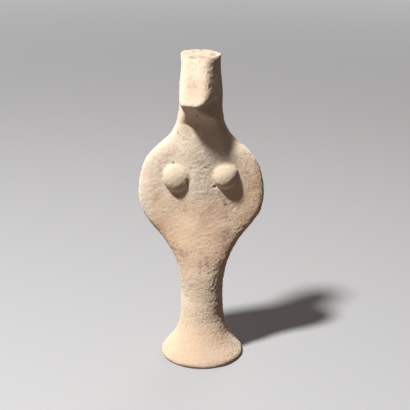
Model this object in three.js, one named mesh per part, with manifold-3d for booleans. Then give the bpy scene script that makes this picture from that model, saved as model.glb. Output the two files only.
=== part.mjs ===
// A Mycenaean "phi" figurine, modelled by hand in one piece of clay and fired: a round flared foot,
// a stem, a flat disc of a body with two clay pellets pressed on it, and a column of a head whose
// front is pinched into a flat, featureless face under a flat-topped cap.
// Millimetres. +Z is up, the figure faces -Y, and it stands on z = 0.

import * as THREE from 'three';
import { LoftGeometry } from 'three/addons/geometries/LoftGeometry.js';
import { mergeVertices } from 'three/addons/utils/BufferGeometryUtils.js';
import Module from 'manifold-3d';

// Driving dimensions.

const HEIGHT = 110;

const FOOT_RADIUS = 14.35; // at its widest, just above the ground
const FOOT_WIDEST_Z = 1.3;
const FOOT_GROUND_RADIUS = 13.9;
const FLARE_SPREAD = 6.6; // how far up the stem the foot's flare reaches
const FLARE_POWER = 1.4; // 2 is a rounded bell, and less has a sharper edge
const FLARE_STEP = 1.4; // between the flare's sections
const STEM_RADIUS = 7.18;

const THROAT_HALF_WIDTH = 7.4;
const CAP_HALF_WIDTH = 6.75;
const CAP_FLARE = 0.2; // how far the cap's rim turns out
const CAP_RIM_ROUNDING = 0.5;

const CHIN_Z = 95;
const CHIN_ROUNDING = 1.3;
const CHIN_REACH = 12.6; // from the figure's axis forward to the chin
const CHIN_UNDERCUT = 0.07; // the share of that reach missing at the bottom of the chin's rounding
const CHIN_CORNER_RADIUS = 3; // the face's lower corner on the figure's left is worn round
const CHIN_CORNER_CUT = 0.5; // the share of the half width that it takes off the chin
const FACE_TOP_REACH = 4.4;
const FACE_PINCH = 0.38; // the share of the head's width that the flat of the face gives up
const FACE_TOP_CUT = 0.1; // the share of the half width that the face's top gives up, on the left
const FACE_SHIFT = 0.3; // the flat of the face is this far off the head's middle, to its right
const HEAD_MID_Y = 2; // where the head is widest
const HEAD_BACK = 6.4;
const HEAD_TURN = THREE.MathUtils.degToRad( 9 ); // towards the figure's right
const LEAN = 0.85; // how far the top stands to the figure's right of the foot

const RIDGE_SPREAD = 8; // how far the chest's soft ridge reaches to each side
const THROAT_POWER = 1.15; // over 1, the throat is hollow between the neck and the chin

// Powers of the superellipses that the cross-sections follow.

const DISC_SQUARE = 3.1;
const NECK_SQUARE = 3;
const THROAT_SQUARE = 4.5;
const FACE_SQUARE = 7;
const HEAD_BACK_SQUARE = 2.3;

const PELLET_SIDES = 22;
const PELLET_RINGS = 14;
const PELLET_SINK = 0.8; // how deep a pellet's middle lies under the chest's surface
const PELLET_DROOP = 1.2; // its lower half is this many times longer than its upper half
const PELLETS = [
	{ x: - 8.7, z: 67.3, radius: 4.8, height: 3 }, // the figure's right breast
	{ x: 7.9, z: 68.2, radius: 4.35, height: 3.2 }, // its left breast
];

const CLAY_COLOUR = 0xcdb394;
const CLAY_ROUGHNESS = 0.92;

const POINTS_AROUND = 60;
const ARC_DIVISIONS = 240; // for spacing those points evenly
const MERGE_DISTANCE = 1e-4; // points closer than this are one

// The body between the stem and the neck, from below: height, half width, how far its flat part
// reaches forward and back of the axis, and how far a soft ridge down the middle stands proud of the
// front. A smooth curve runs through these stations.

const BODY_STATIONS = [
	{ z: 22, half: 7.18, front: 7.18, back: 7.18, ridge: 0 }, // the stem's narrowest
	{ z: 29, half: 7.6, front: 7.2, back: 7.3, ridge: 0 },
	{ z: 36, half: 9.0, front: 6.3, back: 7.1, ridge: 0.5 }, // waist
	{ z: 41, half: 11.4, front: 4.9, back: 6.9, ridge: 1.2 },
	{ z: 45, half: 14.0, front: 3.8, back: 6.5, ridge: 1.7 },
	{ z: 49.5, half: 17.55, front: 2.9, back: 6.0, ridge: 1.9 },
	{ z: 54, half: 20.5, front: 2.3, back: 5.6, ridge: 1.9 },
	{ z: 60.5, half: 21.6, front: 2.0, back: 5.3, ridge: 1.9 }, // the disc's widest
	{ z: 67.2, half: 20.8, front: 1.9, back: 5.3, ridge: 2.0 },
	{ z: 72.6, half: 18.9, front: 1.8, back: 5.4, ridge: 2.3 },
	{ z: 76.9, half: 14.9, front: 1.8, back: 5.6, ridge: 2.5 }, // shoulders
	{ z: 81.2, half: 10.5, front: 2.3, back: 5.9, ridge: 2.1 },
	{ z: 84.4, half: 8.55, front: 3.2, back: 6.1, ridge: 1.2 },
	{ z: 86.5, half: 7.9, front: 3.9, back: 6.2, ridge: 0.6 }, // neck
];

const STEM_TOP = BODY_STATIONS[ 0 ].z;
const NECK = BODY_STATIONS[ BODY_STATIONS.length - 1 ];

// The heights between which one shape blends into the next.

const STEM_TO_DISC = [ STEM_TOP, 52.5 ];
const DISC_TO_NECK = [ 76.5, NECK.z ];
const NECK_TO_THROAT = [ NECK.z, NECK.z + 4 ];
const NECK_TO_PINCH = [ NECK.z - 1, CHIN_Z - 2 ];
const THROAT_TO_FACE = [ CHIN_Z - 1.5, CHIN_Z + 0.3 ];
const THROAT_TO_CORNER = [ CHIN_Z - 6, CHIN_Z ];
const FACE_TO_CAP = [ CHIN_Z + 1, HEIGHT - 5 ];
const CAP_TO_RIM = [ HEIGHT - 4, HEIGHT - 1 ];
const FACE_TO_RIM = [ HEIGHT - 8, HEIGHT ];
const NECK_TO_TURN = [ NECK.z - 3, CHIN_Z ];

// How far up each stretch its sections stand, as shares of it: close together where it curves.

const EDGE_LEVELS = [ 0, 0.15, 0.5, 1 ];
const THROAT_LEVELS = [ 0, 0.2, 0.4, 0.6, 0.75, 0.87, 0.95 ];
const CHIN_LEVELS = [ 0, 0.15, 0.4, 0.7, 1 ];
const FACE_LEVELS = [ 0.14, 0.2, 0.28, 0.4, 0.52, 0.65, 0.77, 0.88, 0.94 ];

// Helpers.

const { clamp, lerp, smoothstep } = THREE.MathUtils;

// The figure's cross-section at one height, widest at y = mid. square is the power of the superellipse
// that it follows: 2 is an ellipse, and more has flatter faces and tighter corners. pinch narrows its
// front, cut narrows only the front's left, shift moves the front to the figure's right, and
// ridge adds a soft ridge down its middle.

class Section extends THREE.Curve {

	constructor( sizes ) {

		super();
		const defaults = { mid: 0, square: 2, pinch: 0, cut: 0, shift: 0, ridge: 0, turn: 0 };
		Object.assign( this, { ...defaults, backSquare: sizes.square ?? defaults.square, ...sizes } );
		this.arcLengthDivisions = ARC_DIVISIONS;

	}

	getPoint( t, target = new THREE.Vector3() ) {

		const angle = t * 2 * Math.PI;
		const square = t > 0.5 ? this.square : this.backSquare;
		const across = bulge( Math.cos( angle ), square );
		const along = bulge( Math.sin( angle ), square );
		const forward = Math.max( - along, 0 );
		const narrowing = this.pinch + ( across > 0 ? this.cut : 0 );
		const x = this.half * across * ( 1 - narrowing * forward ) - this.shift * forward;
		const proud = this.ridge * forward * Math.exp( - ( ( x / RIDGE_SPREAD ) ** 2 ) );
		const reach = along < 0 ? this.front + this.mid : this.back - this.mid;
		const y = this.mid + along * reach - proud;
		const leanX = - LEAN * ( this.z / HEIGHT ) ** 2;
		const cos = Math.cos( this.turn );
		const sin = Math.sin( this.turn );
		return target.set( leanX + x * cos + y * sin, y * cos - x * sin, this.z );

	}

	// The ring's points, evenly spaced, without the last one, which is the first again.

	ring() {

		return this.getSpacedPoints( POINTS_AROUND ).slice( 0, POINTS_AROUND );

	}

}

function bulge( value, square ) {

	return Math.sign( value ) * Math.abs( value ) ** ( 2 / square );

}

// The profile of a quarter circle, from 0 at its foot to 1 at its top.

function quarterRound( level ) {

	return Math.sqrt( 1 - ( 1 - level ) ** 2 );

}

// Sections from the ground to the top of the stem: round, with a rolled edge and a bell-shaped flare.

function footSections() {

	const edge = EDGE_LEVELS.map( ( level ) => {

		const radius = lerp( FOOT_GROUND_RADIUS, FOOT_RADIUS, quarterRound( level ) );
		return round( level * FOOT_WIDEST_Z, radius );

	} );

	const flare = [];
	for ( let z = FOOT_WIDEST_Z + FLARE_STEP / 2; z < STEM_TOP - FLARE_STEP / 2; z += FLARE_STEP ) {

		const share = Math.exp( - ( ( ( z - FOOT_WIDEST_Z ) / FLARE_SPREAD ) ** FLARE_POWER ) );
		flare.push( round( z, lerp( STEM_RADIUS, FOOT_RADIUS, share ) ) );

	}

	return [ ...edge, ...flare ];

}

function round( z, radius ) {

	return new Section( { z, half: radius, front: radius, back: radius } );

}

// Sections of the stem's top, the disc and the shoulders, on a smooth curve through the stations.

function bodySections() {

	const fronts = new THREE.CatmullRomCurve3(
		BODY_STATIONS.map( ( { z, half, front } ) => new THREE.Vector3( half, front, z ) )
	);
	const backs = new THREE.CatmullRomCurve3(
		BODY_STATIONS.map( ( { ridge, back }, i ) => new THREE.Vector3( ridge, back, i ) )
	);
	const steps = 2 * ( BODY_STATIONS.length - 1 );
	const sections = [];
	for ( let i = 0; i < steps; i ++ ) {

		const { x: half, y: front, z } = fronts.getPoint( i / steps );
		const { x: ridge, y: back } = backs.getPoint( i / steps );
		const mid = ( back - front ) / 2;
		const discSquare = lerp( 2, DISC_SQUARE, smoothstep( z, ...STEM_TO_DISC ) );
		const square = lerp( discSquare, NECK_SQUARE, smoothstep( z, ...DISC_TO_NECK ) );
		sections.push( new Section( { z, half, front, back, mid, square, ridge } ) );

	}

	return sections;

}

// Sections of the throat, which comes forward to the chin, the pinched face above it and the cap.

function headSections() {

	const throat = THROAT_LEVELS.map( ( level ) => lerp( NECK.z, CHIN_Z, level ) );
	const chin = CHIN_LEVELS.map( ( level ) => CHIN_Z + level * CHIN_ROUNDING );
	const face = FACE_LEVELS.map( ( level ) => lerp( CHIN_Z, HEIGHT, level ) );
	const sections = [ ...throat, ...chin, ...face, HEIGHT - CAP_RIM_ROUNDING ].map( headSection );
	const top = headSection( HEIGHT );
	top.half -= CAP_RIM_ROUNDING;
	top.front -= CAP_RIM_ROUNDING;
	top.back -= CAP_RIM_ROUNDING;
	return [ ...sections, top ];

}

function headSection( z ) {

	const onThroat = clamp( ( z - NECK.z ) / ( CHIN_Z - NECK.z ), 0, 1 );
	const onChin = clamp( ( z - CHIN_Z ) / CHIN_ROUNDING, 0, 1 );
	const onFace = Math.max( z - CHIN_Z, 0 ) / ( HEIGHT - CHIN_Z );
	const onCorner = clamp( ( z - CHIN_Z ) / CHIN_CORNER_RADIUS, 0, 1 );
	const forward = onThroat ** THROAT_POWER * lerp( 1 - CHIN_UNDERCUT, 1, quarterRound( onChin ) );
	const throatHalf = lerp( NECK.half, THROAT_HALF_WIDTH, smoothstep( z, ...NECK_TO_THROAT ) );
	const capHalf = CAP_HALF_WIDTH + CAP_FLARE * smoothstep( z, ...CAP_TO_RIM );
	const cornerCut = CHIN_CORNER_CUT * smoothstep( z, ...THROAT_TO_CORNER );
	const chinCut = cornerCut * ( 1 - quarterRound( onCorner ) );
	const throatSquare = lerp( NECK_SQUARE, THROAT_SQUARE, smoothstep( z, ...NECK_TO_THROAT ) );
	return new Section( {
		z,
		half: lerp( throatHalf, capHalf, smoothstep( z, ...FACE_TO_CAP ) ),
		front: lerp( NECK.front, lerp( CHIN_REACH, FACE_TOP_REACH, onFace ), forward ),
		back: lerp( NECK.back, HEAD_BACK, onThroat ),
		mid: lerp( ( NECK.back - NECK.front ) / 2, HEAD_MID_Y, onThroat ),
		square: lerp( throatSquare, FACE_SQUARE, smoothstep( z, ...THROAT_TO_FACE ) ),
		backSquare: lerp( NECK_SQUARE, HEAD_BACK_SQUARE, onThroat ),
		pinch: FACE_PINCH * smoothstep( z, ...NECK_TO_PINCH ),
		cut: chinCut + FACE_TOP_CUT * smoothstep( z, ...FACE_TO_RIM ),
		shift: FACE_SHIFT * onThroat,
		ridge: NECK.ridge * ( 1 - onThroat ),
		turn: HEAD_TURN * smoothstep( z, ...NECK_TO_TURN ),
	} );

}

// One closed loft from the ground to the top of the cap.

function bodyGeometry() {

	const sections = [ ...footSections(), ...bodySections(), ...headSections() ];
	return new LoftGeometry( sections.map( ( section ) => section.ring() ), { capStart: true, capEnd: true } );

}

// A pellet of clay, pressed on the chest: an ellipsoid that stands height proud of it.

function pelletGeometry( { x, z, radius, height } ) {

	const pellet = new THREE.SphereGeometry( 1, PELLET_SIDES, PELLET_RINGS );
	const places = pellet.attributes.position;
	for ( let i = 0; i < places.count; i ++ ) {

		if ( places.getZ( i ) < 0 ) places.setZ( i, PELLET_DROOP * places.getZ( i ) );

	}

	pellet.scale( radius, height + PELLET_SINK, radius );
	pellet.translate( x, PELLET_SINK - chestReach( x, z ), z );
	return pellet;

}

// How far the chest reaches forward at a place.

function chestReach( x, z ) {

	const above = BODY_STATIONS.findIndex( ( station ) => station.z > z );
	const [ low, high ] = [ BODY_STATIONS[ above - 1 ], BODY_STATIONS[ above ] ];
	const share = ( z - low.z ) / ( high.z - low.z );
	const ridge = lerp( low.ridge, high.ridge, share ) * Math.exp( - ( ( x / RIDGE_SPREAD ) ** 2 ) );
	return lerp( low.front, high.front, share ) + ridge;

}

// Solids for joining.

const wasm = await Module();
wasm.setup();

function toSolid( geometry ) {

	const bare = new THREE.BufferGeometry();
	bare.setAttribute( 'position', geometry.attributes.position );
	bare.setIndex( geometry.index );
	const merged = mergeVertices( bare, MERGE_DISTANCE );
	return new wasm.Manifold( new wasm.Mesh( {
		numProp: 3,
		vertProperties: new Float32Array( merged.attributes.position.array ),
		triVerts: new Uint32Array( merged.index.array ),
	} ) );

}

function toGeometry( solid ) {

	const { vertProperties, triVerts } = solid.getMesh();
	const geometry = new THREE.BufferGeometry();
	geometry.setAttribute( 'position', new THREE.BufferAttribute( vertProperties, 3 ) );
	geometry.setIndex( new THREE.BufferAttribute( triVerts, 1 ) );
	geometry.computeVertexNormals();
	return geometry;

}

// The figurine.

const clay = new THREE.MeshStandardMaterial( {
	color: CLAY_COLOUR,
	roughness: CLAY_ROUGHNESS,
	metalness: 0,
} );

const solid = PELLETS.reduce(
	( joined, pellet ) => joined.add( toSolid( pelletGeometry( pellet ) ) ),
	toSolid( bodyGeometry() )
);

const figurine = new THREE.Mesh( toGeometry( solid ), clay );
figurine.name = 'figurine';

const part = new THREE.Group();
part.add( figurine );

export default part;
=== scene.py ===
"""A Mycenaean phi figurine of fired clay, standing on a plain pale floor.

The CAD node gives the figurine its shape. A fine mesh made from it carries the marks of the maker's
hands, the wiping, the worn and pitted skin and the chips, and its colour carries the faded paint.
"""

import math
import random

import bpy
from mathutils import Matrix, Vector, kdtree, noise


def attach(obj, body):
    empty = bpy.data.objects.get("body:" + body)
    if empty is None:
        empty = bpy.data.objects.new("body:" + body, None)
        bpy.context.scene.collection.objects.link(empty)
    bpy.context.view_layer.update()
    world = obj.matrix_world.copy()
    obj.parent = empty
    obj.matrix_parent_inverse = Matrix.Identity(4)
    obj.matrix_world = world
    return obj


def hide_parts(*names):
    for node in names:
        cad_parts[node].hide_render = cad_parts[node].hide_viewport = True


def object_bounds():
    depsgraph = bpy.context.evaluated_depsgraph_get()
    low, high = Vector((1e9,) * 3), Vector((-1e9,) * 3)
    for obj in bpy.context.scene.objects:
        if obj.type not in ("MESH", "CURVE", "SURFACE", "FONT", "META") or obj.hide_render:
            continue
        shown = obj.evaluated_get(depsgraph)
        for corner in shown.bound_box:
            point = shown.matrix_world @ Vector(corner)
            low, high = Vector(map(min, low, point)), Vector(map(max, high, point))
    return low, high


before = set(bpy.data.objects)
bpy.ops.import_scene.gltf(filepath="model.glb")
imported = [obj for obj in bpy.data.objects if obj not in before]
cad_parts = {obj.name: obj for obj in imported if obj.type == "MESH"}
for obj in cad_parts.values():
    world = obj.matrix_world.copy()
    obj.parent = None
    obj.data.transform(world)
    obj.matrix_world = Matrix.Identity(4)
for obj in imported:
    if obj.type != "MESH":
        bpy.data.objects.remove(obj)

cad_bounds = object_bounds()

MM = 0.001  # metres; everything about the clay below is in millimetres

# The fine mesh.

VOXEL = 0.345
SMOOTH_ROUNDS = 9

# The surface's relief: each kind of unevenness is soft noise of a height and a size, moved by an offset
# so that no two kinds line up.

HAND_LUMPS = (0.26, 8.0, 0)
FINGER_DENTS = (0.10, 3.6, 11)
GRAIN = (0.060, 1.2, 23)
FINE_GRAIN = (0.085, 0.65, 37)
WIPE_MARKS = (0.040, 0.9, 5)
FLAKES = (0.090, 0.7, 3)
CRUMBS = (0.054, 0.385, 7)
ROUGH_EDGE = (0.35, 3.0, 0)  # how unevenly the rough patches fade out
RIM_WEAR = (0.30, 1.7, 19)
STROKE_WANDER = (0.5, 2.2, 0)  # how far the painted strokes stray

HEAD_Z = (90, 97)  # from here up the lumps and dents grow shallower
HEAD_SMOOTHNESS = 0.45  # by this share
ROUGH_SINK = 0.027  # how far the rough skin lies below the rest
GROUND_Z = (0.15, 1.6)  # the relief fades out down to the underside, which stays flat

# Wipe marks run across the body, a little aslant, and are strongest on the belly.

WIPE_STRETCH = 6.0  # a wipe mark is this many times longer than it is wide
WIPE_TILT = (0.35, 15.0, 0)
BELLY_RISE = (40, 50)
BELLY_FALL = (60, 68)
OFF_BELLY = 0.2  # how strong they are elsewhere

# The cap's worn rim and its top, which falls away from its middle to its sides.

RIM_Z = (107.6, 109.4)
RIM_SINK = 0.08
TOP_Z = (108.5, 109.5)
TOP_FACING = (0.5, 0.9)  # how far upward a surface has to face to be the top's
TOP_SLOPE = 1.1
TOP_MIDDLE_X = -0.6
TOP_SLOPE_REACH = (2.0, 7.5)

FRONT_FACING = (0.05, 0.5)  # how far forward a surface has to face to carry the front's marks

# Patches are ovals seen from the front, (x, z, half width, half height, strength), with soft edges.

PATCH_EDGE = 0.6  # the soft edge's share of a patch

# Rough, flaked places on the front.

ROUGH_PATCHES = [
    (3.6, 36.0, 4.6, 5.5, 1.0),  # right of the waist
    (4.4, 28.5, 3.2, 6.5, 1.0),  # right of the stem
    (6.2, 17.0, 3.0, 8.0, 0.8),
    (9.0, 7.5, 5.0, 5.5, 0.6),  # right of the foot
    (0.5, 71.5, 5.5, 7.0, 0.9),  # between the breasts
    (8.5, 55.5, 6.0, 4.5, 0.55),  # under the left breast
    (13.5, 52.0, 5.0, 5.0, 0.5),
    (4.0, 77.5, 4.5, 3.0, 0.8),
]

# Single pits and chips on the front: (x, z, radius, depth).

PIT_SPREAD = 1.5  # such a pit's slope ends at this many times its radius
PITS = [
    (-9.7, 72.3, 0.55, 0.35),
    (4.4, 64.0, 0.65, 0.45),
    (8.1, 57.0, 0.45, 0.3),
    (1.5, 71.0, 0.5, 0.25),
    (3.5, 26.2, 0.5, 0.15),
    (2.6, 33.2, 0.5, 0.15),
    (4.6, 30.4, 0.45, 0.15),
    (-1.5, 90.5, 0.6, 0.2),
]

# Dents in the round, on edges: (x, y, z, radius, depth).

DENTS = [
    (-2.9, -4.3, 109.9, 1.9, 0.55),  # on the cap's front rim
    (-0.3, 6.2, 110.0, 1.4, 0.40),  # on the cap's back rim
    (5.4, 2.4, 110.0, 2.2, 0.25),
    (-20.9, -1.0, 66.5, 3.0, 0.25),
    (18.9, -1.0, 50.8, 2.6, 0.30),
    (10.8, -2.4, 79.2, 4.6, 0.70),  # a hollow where the left shoulder meets the neck
    (-9.0, -10.5, 1.5, 2.4, 0.25),
]

LOOSE_PITS = 120  # scattered all over
LOOSE_PIT_RADII = (0.25, 0.6)
LOOSE_PIT_DEPTHS = (0.03, 0.13)

LOOSE_PITS_FROM_Z = 2
PIT_SEED = 1400
PIT_SLOPE = 1.4  # a loose pit's slope ends at this many times its radius
PIT_DIRT_REACH = 1.2  # and the dirt in a single pit at this many

# The clay pellets on the chest: (x, z, radius), and the groove pressed round them.

PELLETS = [(-8.7, 67.3, 4.8), (7.9, 68.2, 4.35)]
PELLET_FADE = 0.5  # a pellet's colour fades out from this far inside its edge to this far outside
GROOVE_DEPTH = 0.07
GROOVE_WIDTH = 0.8
GROOVE_GAP = 0.15  # from the pellet's edge to the groove's middle

# Faded paint: strokes along points (x, z), each with a half width and a strength.

STROKE_REACH = 2.0  # a stroke's soft edge ends at this many half widths
STROKE_EDGE = 0.8  # the soft edge's share of that
PAINT_FACING = (0.1, 0.4)  # the paint fades out towards the sides

FRONT_STROKES = [
    ([(-9.5, 77.5), (-11.5, 74.5), (-13.9, 72.4), (-14.4, 69.9), (-14.0, 66.5)], 1.2, 0.55),
    ([(-14.0, 66.5), (-13.8, 62.5), (-15.4, 59.0)], 1.2, 0.45),
    ([(1.0, 76.0), (0.4, 74.0), (-0.3, 72.0), (-1.0, 69.5), (-1.6, 66.0)], 1.0, 0.4),
    ([(-3.2, 76.2), (-2.0, 74.0)], 0.9, 0.35),
    ([(14.6, 69.5), (16.5, 64.7), (15.2, 61.5)], 1.2, 0.5),
    ([(-8.8, 59.6), (-6.8, 57.5), (-5.8, 54.5)], 1.3, 0.5),
    ([(6.4, 61.4), (7.6, 59.0), (8.7, 56.0), (8.0, 52.5)], 0.9, 0.65),
    ([(-3.8, 54.8), (1.0, 53.0), (5.5, 51.5)], 1.6, 0.45),
    ([(-9.0, 41.6), (-7.0, 40.4), (-6.3, 39.8)], 1.2, 1.0),
    ([(-6.6, 41.2), (-0.1, 41.2), (2.0, 41.0)], 0.5, 0.6),
    ([(5.2, 41.4), (6.9, 39.8)], 0.9, 0.7),
    ([(8.6, 48.0), (8.2, 45.0), (8.3, 42.0)], 1.3, 0.7),
    ([(1.4, 39.2), (2.1, 35.3)], 0.6, 0.85),
    ([(-0.7, 37.8), (-1.0, 31.0)], 0.6, 0.8),
    ([(3.4, 26.6), (3.7, 25.6)], 0.7, 0.6),
    ([(7.3, 14.5), (7.1, 12.4)], 0.7, 0.9),
    ([(8.0, 9.6), (8.6, 8.4)], 0.7, 0.9),
    ([(-3.6, 103.0), (-2.4, 101.6)], 0.9, 0.5),
    ([(-4.1, 101.0), (-3.4, 99.2)], 0.8, 0.45),
]
BACK_STROKES = [
    ([(-12.5, 72.0), (-14.6, 65.0), (-13.0, 57.0), (-9.5, 49.5)], 1.0, 0.45),
    ([(0.8, 77.0), (-0.5, 69.0), (0.6, 61.0), (-0.4, 53.0)], 0.9, 0.4),
    ([(12.5, 72.5), (14.8, 64.0), (12.4, 56.0), (9.2, 49.0)], 1.0, 0.45),
    ([(-7.5, 40.5), (0.0, 41.2), (7.5, 40.6)], 0.7, 0.5),
]

# Stains, on both sides alike.

OCHRE_STAINS = [
    (-15.6, 49.0, 5.5, 3.6, 0.9),
    (-10.5, 43.8, 3.6, 3.4, 0.7),
    (-8.0, 35.5, 2.6, 4.5, 0.35),
    (15.5, 59.0, 3.2, 7.0, 0.35),
]

# Where the colour is paler: partly the clay's own paler skin, partly painted light that brightens the
# chest, stem and head, and a painted highlight on the edge that faces the key lamp.

LIT_AND_PALE_ZONES = [
    (-3.0, 73.0, 27.0, 19.0, 1.0),  # chest and shoulders
    (0.0, 100.0, 14.0, 17.0, 0.72),  # head
    (0.0, 24.0, 16.0, 17.0, 0.5),  # stem
    (0.0, 2.0, 26.0, 14.0, 0.2),  # foot
    (-21.0, 60.0, 6.0, 22.0, 0.9),  # the right arm's edge, which faces the key lamp: a painted highlight
]

TOP_SHADE_Z = 106.0  # the cap's flat top is painted darker than its sides: painted shade
TOP_SHADE_FACING = (0.6, 0.9)


def smoothstep(value, low, high):
    share = min(max((value - low) / (high - low), 0.0), 1.0)
    return share * share * (3 - 2 * share)


def spot(distance, radius):
    """1 in the middle of a round spot, falling smoothly to 0 at its radius."""
    share = distance / radius
    return (1 - share * share) ** 2 if share < 1 else 0.0


def patch(place, patches):
    """How strongly the strongest of these oval patches covers a place."""
    strongest = 0.0
    for x, z, half_width, half_height, strength in patches:
        distance = math.hypot((place.x - x) / half_width, (place.z - z) / half_height)
        if distance < 1:
            strongest = max(strongest, strength * smoothstep(1 - distance, 0.0, PATCH_EDGE))
    return strongest


def stroke_distance(x, z, points):
    """How far a place is from a line through the points."""
    nearest = math.inf
    for (x0, z0), (x1, z1) in zip(points, points[1:]):
        along_x, along_z = x1 - x0, z1 - z0
        share = ((x - x0) * along_x + (z - z0) * along_z) / (along_x**2 + along_z**2)
        share = min(max(share, 0.0), 1.0)
        nearest = min(nearest, math.hypot(x - x0 - share * along_x, z - z0 - share * along_z))
    return nearest


def pellet_share(place):
    """1 on the two pellets, falling to 0 across their edges."""
    if place.y >= 0:
        return 0.0
    insides = [radius - math.hypot(place.x - x, place.z - z) for x, z, radius in PELLETS]
    return smoothstep(max(insides), -PELLET_FADE, PELLET_FADE)


def top_shade_share(place, normal):
    """Where the painted shade on the cap's flat top goes: 1 on the top, and 0 on its sides and
    everywhere below.
    """
    return smoothstep(normal.z, *TOP_SHADE_FACING) if place.z > TOP_SHADE_Z else 0.0


def facing_front(normal):
    """1 where the surface faces forward, falling to 0 at the sides."""
    return smoothstep(-normal.y, *FRONT_FACING)


def uneven(place, kind):
    """Soft noise of one kind of unevenness."""
    height, size, offset = kind
    return height * noise.noise(place / size + Vector((offset, offset, offset)))


# The fine mesh of the clay.


def fine_copy(node):
    """An even, fine mesh of a CAD node, in millimetres, without the node's facets and seams."""
    piece = bpy.data.objects.new("clay_figurine", node.data.copy())
    bpy.context.scene.collection.objects.link(piece)
    piece.data.materials.clear()
    piece.data.transform(Matrix.Scale(1 / MM, 4))
    remesh = piece.modifiers.new("remesh", "REMESH")
    remesh.mode = "VOXEL"
    remesh.voxel_size = VOXEL
    smooth = piece.modifiers.new("smooth", "SMOOTH")
    smooth.iterations = SMOOTH_ROUNDS
    depsgraph = bpy.context.evaluated_depsgraph_get()
    mesh = bpy.data.meshes.new_from_object(piece.evaluated_get(depsgraph))
    piece.modifiers.clear()
    piece.data = mesh
    return piece


def rough_share(place, front):
    """How rough and flaked the skin is at a place."""
    share = patch(place, ROUGH_PATCHES)
    if share > 0:
        share += uneven(place, ROUGH_EDGE)
    return front * max(0.0, share)


def wipe_marks(place):
    """The height of the marks left by wiping the wet clay."""
    slant = uneven(place, WIPE_TILT) * place.x
    stretched = Vector((place.x / WIPE_STRETCH, place.y, place.z + slant))
    on_belly = smoothstep(place.z, *BELLY_RISE) * (1 - smoothstep(place.z, *BELLY_FALL))
    return (OFF_BELLY + (1 - OFF_BELLY) * on_belly) * uneven(stretched, WIPE_MARKS)


def worn_cap(place, normal):
    """The height of the wear on the cap's rim and flat top."""
    height = smoothstep(place.z, *RIM_Z) * (uneven(place, RIM_WEAR) - RIM_SINK)
    on_top = smoothstep(place.z, *TOP_Z) * smoothstep(normal.z, *TOP_FACING)
    aside = smoothstep(abs(place.x - TOP_MIDDLE_X), *TOP_SLOPE_REACH)
    return height - on_top * aside * TOP_SLOPE


def hollows(place, front):
    """How deep the grooves, pits and dents that have places of their own are."""
    depth = 0.0
    if front > 0:
        for x, z, radius in PELLETS:
            from_groove = abs(math.hypot(place.x - x, place.z - z) - radius - GROOVE_GAP)
            depth += front * GROOVE_DEPTH * spot(from_groove, GROOVE_WIDTH)
        for x, z, radius, pit_depth in PITS:
            distance = math.hypot(place.x - x, place.z - z)
            depth += front * pit_depth * spot(distance, PIT_SPREAD * radius)
    for x, y, z, radius, dent_depth in DENTS:
        depth += dent_depth * spot((place - Vector((x, y, z))).length, radius)
    return depth


def relief(place, normal):
    """How far the clay's surface stands proud of the CAD shape at a place, in millimetres."""
    front = facing_front(normal)
    height = uneven(place, HAND_LUMPS) + uneven(place, FINGER_DENTS)
    height *= 1 - HEAD_SMOOTHNESS * smoothstep(place.z, *HEAD_Z)
    height += uneven(place, GRAIN) + uneven(place, FINE_GRAIN) + wipe_marks(place)
    rough = rough_share(place, front)
    if rough > 0:
        height += rough * (uneven(place, FLAKES) + uneven(place, CRUMBS) - ROUGH_SINK)
    height += worn_cap(place, normal) - hollows(place, front)
    return height * smoothstep(place.z, *GROUND_Z)


def scatter_pits(mesh, heights):
    """Presses small pits in at random vertices, and returns how deep in a pit each vertex is."""
    tree = kdtree.KDTree(len(mesh.vertices))
    for vertex in mesh.vertices:
        tree.insert(vertex.co, vertex.index)
    tree.balance()
    chance = random.Random(PIT_SEED)
    depths = [0.0] * len(heights)
    for _ in range(LOOSE_PITS):
        middle = mesh.vertices[chance.randrange(len(mesh.vertices))].co
        radius = chance.uniform(*LOOSE_PIT_RADII)
        depth = chance.uniform(*LOOSE_PIT_DEPTHS)
        if middle.z < LOOSE_PITS_FROM_Z:
            continue
        for _, index, distance in tree.find_range(middle, PIT_SLOPE * radius):
            depths[index] = max(depths[index], depth * spot(distance, PIT_SLOPE * radius))
    for index, depth in enumerate(depths):
        heights[index] -= depth
    return depths


def paint_share(place, normal):
    """How much faded paint is left at a place."""
    strokes = FRONT_STROKES if normal.y < 0 else BACK_STROKES
    wander = uneven(place, STROKE_WANDER)
    strongest = 0.0
    for points, half_width, strength in strokes:
        reach = STROKE_REACH * half_width
        inside = reach - stroke_distance(place.x + wander, place.z - wander, points)
        strongest = max(strongest, strength * smoothstep(inside, 0, STROKE_EDGE * reach))
    return strongest * smoothstep(abs(normal.y), *PAINT_FACING)


def dirt_share(place, normal, pit_depth):
    """How much dirt has settled at a place, in loose pits and in the single ones on the front."""
    share = pit_depth / LOOSE_PIT_DEPTHS[1]
    if normal.y < 0:
        for x, z, radius, _ in PITS:
            share = max(share, spot(math.hypot(place.x - x, place.z - z), PIT_DIRT_REACH * radius))
    return share


def add_attribute(mesh, name, values):
    attribute = mesh.attributes.new(name, "FLOAT", "POINT")
    attribute.data.foreach_set("value", values)


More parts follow.
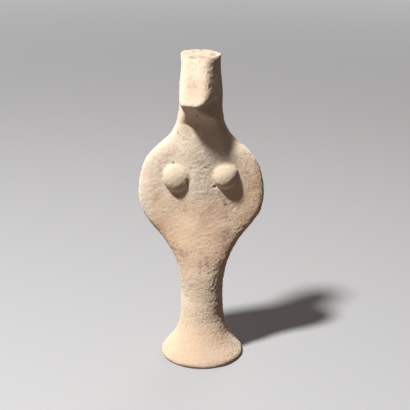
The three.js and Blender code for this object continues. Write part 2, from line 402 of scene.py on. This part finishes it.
def work_surface(piece):
    """Gives the clay its relief and marks where its paint, stains and dirt are, and where its painted
    light and painted shade go.
    """
    mesh = piece.data
    low, high = (Vector(corner) / MM for corner in cad_bounds)
    normals = [vertex.normal.copy() for vertex in mesh.vertices]
    places = [vertex.co.copy() for vertex in mesh.vertices]
    surface = list(zip(places, normals))
    heights = [relief(place, normal) for place, normal in surface]
    pit_depths = scatter_pits(mesh, heights)
    for vertex, normal, height in zip(mesh.vertices, normals, heights):
        moved = vertex.co + normal * height
        vertex.co = [min(max(value, a), b) for value, a, b in zip(moved, low, high)]

    add_attribute(mesh, "paint", [paint_share(place, normal) for place, normal in surface])
    add_attribute(mesh, "stain", [patch(place, OCHRE_STAINS) for place in places])
    add_attribute(mesh, "rough", [rough_share(place, facing_front(normal)) for place, normal in surface])
    add_attribute(mesh, "dirt", [dirt_share(*at, pit) for at, pit in zip(surface, pit_depths)])
    # pale: paler skin and painted light, with a painted highlight on the edge that faces the key lamp
    add_attribute(mesh, "pale", [patch(place, LIT_AND_PALE_ZONES) for place in places])
    add_attribute(mesh, "top", [top_shade_share(place, normal) for place, normal in surface])
    add_attribute(mesh, "pellet", [pellet_share(place) for place in places])

    mesh.transform(Matrix.Scale(MM, 4))
    for polygon in mesh.polygons:
        polygon.use_smooth = True


# Materials.


class Shader:
    """A material's node tree, with short ways to add nodes to it."""

    def __init__(self, name):
        self.material = bpy.data.materials.new(name)
        self.material.use_nodes = True
        self.tree = self.material.node_tree
        self.surface = self.tree.nodes["Principled BSDF"]
        mapping = self.add("ShaderNodeMapping")
        mapping.inputs["Scale"].default_value = (1 / MM,) * 3
        self.link(self.add("ShaderNodeTexCoord").outputs["Object"], mapping.inputs["Vector"])
        self.places = mapping.outputs["Vector"]

    def add(self, kind):
        return self.tree.nodes.new(kind)

    def link(self, source, target):
        self.tree.links.new(source, target)

    def attribute(self, name):
        """The share that work_surface has marked under this name."""
        node = self.add("ShaderNodeAttribute")
        node.attribute_name = name
        return node.outputs["Fac"]

    def noise(self, size, detail=3.0, roughness=0.55, stretch=(1, 1, 1)):
        """Noise with features of about this size, in millimetres."""
        mapping = self.add("ShaderNodeMapping")
        mapping.inputs["Scale"].default_value = [1 / (size * s) for s in stretch]
        self.link(self.places, mapping.inputs["Vector"])
        node = self.add("ShaderNodeTexNoise")
        node.inputs["Scale"].default_value = 1.0
        node.inputs["Detail"].default_value = detail
        node.inputs["Roughness"].default_value = roughness
        self.link(mapping.outputs["Vector"], node.inputs["Vector"])
        return node.outputs["Fac"]

    def times(self, first, second):
        node = self.add("ShaderNodeMath")
        node.operation = "MULTIPLY"
        self.link(first, node.inputs[0])
        self.link(second, node.inputs[1])
        return node.outputs["Value"]

    def band(self, value, low, high, top=1.0, bottom=0.0):
        """Bottom where the value is at low, top where it is at high, smooth between."""
        node = self.add("ShaderNodeMapRange")
        node.interpolation_type = "SMOOTHSTEP"
        node.inputs["From Min"].default_value = low
        node.inputs["From Max"].default_value = high
        node.inputs["To Min"].default_value = bottom
        node.inputs["To Max"].default_value = top
        self.link(value, node.inputs["Value"])
        return node.outputs["Result"]

    def mix(self, share, under, over):
        """Over laid on under, by share. Each of the two is a colour or a socket."""
        node = self.add("ShaderNodeMix")
        node.data_type = "RGBA"
        self.link(share, node.inputs["Factor"])
        colour_sockets = [s for s in node.inputs if s.type == "RGBA"]
        for socket, value in zip(colour_sockets, (under, over)):
            if isinstance(value, tuple):
                socket.default_value = (*value, 1)
            else:
                self.link(value, socket)
        return [s for s in node.outputs if s.type == "RGBA"][0]

    def bump(self, height, distance, strength, below=None):
        """Fine roughness of the given height in millimetres, on top of another bump if one is given."""
        node = self.add("ShaderNodeBump")
        node.inputs["Distance"].default_value = distance * MM
        node.inputs["Strength"].default_value = strength
        self.link(height, node.inputs["Height"])
        if below is not None:
            self.link(below, node.inputs["Normal"])
        return node.outputs["Normal"]


# The clay's colours.

BUFF = (0.640, 0.482, 0.338)
PINK_BUFF = (0.590, 0.430, 0.315)
CREAM = (0.620, 0.505, 0.370)
GREY_BUFF = (0.500, 0.395, 0.290)
PALE = (0.700, 0.630, 0.530)
PELLET_CLAY = (0.560, 0.470, 0.350)
# The painted shade that darkens the cap's flat top.
TOP_SHADE = (0.340, 0.280, 0.210)
OCHRE = (0.540, 0.320, 0.175)
PAINT = (0.350, 0.215, 0.195)
DIRT = (0.17, 0.115, 0.08)
SPECKLE = (0.27, 0.20, 0.145)

# The clay's mottling, in the order in which it is laid on: the noise's size in millimetres and its
# detail, the band of the noise over which the colour comes in, its strength, and the colour.

MOTTLES = [
    (16, 3, (0.42, 0.62), 1.0, PINK_BUFF),
    (9, 4, (0.50, 0.72), 0.7, CREAM),
    (5, 5, (0.54, 0.75), 0.6, GREY_BUFF),
]

# What lies on the clay: the attribute that places it, the band of the ragged noise that breaks it up,
# the band of the two together over which the colour comes in, its strength, and the colour.

MARKS = [
    ("stain", (0.3, 0.65), (0.0, 0.9), 0.75, OCHRE),
    ("rough", (0.45, 0.6), (0.0, 0.8), 0.2, GREY_BUFF),
    ("paint", (0.34, 0.6), (0.05, 0.95), 0.8, PAINT),
]


def clay_material():
    """Unglazed buff clay with a matt, gritty skin, mottled, stained and worn, with painted light on its
    paler zones and painted shade on its cap's top.
    """
    shader = Shader("terracotta")
    colour = BUFF
    for size, detail, band, strength, tint in MOTTLES:
        share = shader.band(shader.noise(size, detail), *band, strength)
        colour = shader.mix(share, colour, tint)

    cloudy = shader.band(shader.noise(6), 0.25, 0.7, 1, 0.55)
    # The paler zones: partly the clay's own paler skin, partly painted light, and a painted highlight on
    # the lit arm's edge.
    colour = shader.mix(shader.times(shader.attribute("pale"), cloudy), colour, PALE)
    colour = shader.mix(shader.band(shader.attribute("pellet"), 0, 1, 0.8), colour, PELLET_CLAY)
    ragged = shader.noise(1.6, detail=5, roughness=0.7)
    # Painted shade on the cap's flat top, broken up by the ragged noise.
    top = shader.times(shader.attribute("top"), shader.band(ragged, 0.35, 0.6, 1, 0.45))
    colour = shader.mix(top, colour, TOP_SHADE)

    for name, ragged_band, band, strength, tint in MARKS:
        share = shader.times(shader.attribute(name), shader.band(ragged, *ragged_band))
        colour = shader.mix(shader.band(share, *band, strength), colour, tint)

    grit = shader.noise(0.42, detail=3, roughness=0.7)
    colour = shader.mix(shader.band(grit, 0.42, 0.66, 0.5), colour, GREY_BUFF)
    speckles = shader.noise(0.55, detail=2)
    colour = shader.mix(shader.band(speckles, 0.66, 0.74, 0.55), colour, SPECKLE)
    colour = shader.mix(shader.band(shader.attribute("dirt"), 0.2, 1.0, 0.85), colour, DIRT)
    shader.link(colour, shader.surface.inputs["Base Color"])

    roughness = shader.band(shader.noise(2.5), 0.3, 0.7, 0.98, 0.84)
    shader.link(roughness, shader.surface.inputs["Roughness"])
    shader.surface.inputs["Specular IOR Level"].default_value = 0.25
    shader.surface.inputs["Diffuse Roughness"].default_value = 0.8
    wiped = shader.bump(shader.noise(0.6, detail=4, stretch=(2.5, 1, 1)), 0.08, 0.4)
    gritty = shader.bump(grit, 0.24, 1.0, below=wiped)
    shader.link(gritty, shader.surface.inputs["Normal"])
    return shader.material


# The studio's colours.

BACKDROP = (0.62, 0.63, 0.65)
FLOOR_CARD = (0.325, 0.33, 0.34)
SWEEP = (250, 900)  # between these distances the floor turns into the backdrop


def floor_material():
    """Plain pale matt card that runs into the backdrop far behind, as a studio sweep does."""
    shader = Shader("pale_floor")
    distance = shader.add("ShaderNodeVectorMath")
    distance.operation = "LENGTH"
    shader.link(shader.places, distance.inputs[0])
    far = shader.band(distance.outputs["Value"], *SWEEP)
    shader.link(shader.mix(far, FLOOR_CARD, (0, 0, 0)), shader.surface.inputs["Base Color"])
    shader.surface.inputs["Emission Color"].default_value = (*BACKDROP, 1)
    shader.link(far, shader.surface.inputs["Emission Strength"])
    shader.surface.inputs["Roughness"].default_value = 0.9
    return shader.material


# The figurine.

figurine = fine_copy(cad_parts["figurine"])
work_surface(figurine)
figurine.data.materials.append(clay_material())
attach(figurine, "root")
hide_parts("figurine")

# The floor.

FLOOR_HALF = 3.0  # metres

floor_mesh = bpy.data.meshes.new("floor")
corners = [(-1, -1), (1, -1), (1, 1), (-1, 1)]
floor_mesh.from_pydata([(x * FLOOR_HALF, y * FLOOR_HALF, 0) for x, y in corners], [], [(0, 1, 2, 3)])
floor = bpy.data.objects.new("floor", floor_mesh)
bpy.context.scene.collection.objects.link(floor)
floor.data.materials.append(floor_material())
floor.visible_diffuse = False  # the bounce light stands for what the floor throws back
floor.visible_shadow = False  # and that light comes from under it

# The camera: half a metre away, looking down on the figure's front.

CAMERA_BACK = 0.455
CAMERA_HEIGHT = 0.232
CAMERA_DOWN = math.radians(21.13)
CAMERA_LENS = 124.2
CAMERA_SENSOR = 36
CAMERA_NEAR = 0.01  # the camera sees nothing nearer than this
CAMERA_SHIFT = 0.0073  # the figure stands a little left of the middle

camera = bpy.data.objects.new("camera", bpy.data.cameras.new("camera"))
bpy.context.scene.collection.objects.link(camera)
camera.location = (0, -CAMERA_BACK, CAMERA_HEIGHT)
camera.rotation_euler = (math.pi / 2 - CAMERA_DOWN, 0, 0)
camera.data.sensor_width = CAMERA_SENSOR
camera.data.lens = CAMERA_LENS
camera.data.shift_x = CAMERA_SHIFT
camera.data.clip_start = CAMERA_NEAR
bpy.context.scene.camera = camera

# Light: a soft lamp high to the left of the camera, a weak broad one behind, a warm one from the lit
# floor below, and a dim fill.

KEY_PLACE = Vector((-0.258, -0.252, 0.70))
KEY_TARGET = Vector((0, 0, 0.055))
KEY_POWER = 12.4
KEY_SIZE = 0.085
KEY_COLOUR = (1.0, 0.985, 0.96)
BACK_DIRECTION = Vector((-0.32, -0.92, -0.22))
BACK_ENERGY = 1.35
BACK_ANGLE = math.radians(45)
BACK_COLOUR = (1.0, 0.98, 0.95)
BOUNCE_DIRECTION = Vector((0.48, 0.52, 0.72))
BOUNCE_ENERGY = 0.58
BOUNCE_ANGLE = math.radians(80)
BOUNCE_COLOUR = (1.0, 0.88, 0.74)
FILL = (0.115, 0.088, 0.080)


def add_light(name, kind, direction, colour):
    light = bpy.data.objects.new(name, bpy.data.lights.new(name, kind))
    bpy.context.scene.collection.objects.link(light)
    light.data.color = colour
    light.rotation_euler = direction.to_track_quat("-Z", "Y").to_euler()
    return light


key = add_light("key", "AREA", KEY_TARGET - KEY_PLACE, KEY_COLOUR)
key.location = KEY_PLACE
key.data.shape = "DISK"
key.data.size = KEY_SIZE
key.data.energy = KEY_POWER
back = add_light("back", "SUN", BACK_DIRECTION, BACK_COLOUR)
back.data.energy = BACK_ENERGY
back.data.angle = BACK_ANGLE
bounce = add_light("bounce", "SUN", BOUNCE_DIRECTION, BOUNCE_COLOUR)
bounce.data.energy = BOUNCE_ENERGY
bounce.data.angle = BOUNCE_ANGLE

world = bpy.data.worlds.new("studio")
bpy.context.scene.world = world
world.use_nodes = True
fill = world.node_tree.nodes["Background"]
fill.inputs["Color"].default_value = (*FILL, 1)
backdrop = world.node_tree.nodes.new("ShaderNodeBackground")
backdrop.inputs["Color"].default_value = (*BACKDROP, 1)
rays = world.node_tree.nodes.new("ShaderNodeLightPath")
seen = world.node_tree.nodes.new("ShaderNodeMixShader")  # the camera sees only the backdrop
links = world.node_tree.links
links.new(rays.outputs["Is Camera Ray"], seen.inputs["Fac"])
links.new(fill.outputs["Background"], seen.inputs[1])
links.new(backdrop.outputs["Background"], seen.inputs[2])
links.new(seen.outputs["Shader"], world.node_tree.nodes["World Output"].inputs["Surface"])

bpy.context.scene.view_settings.view_transform = "Standard"
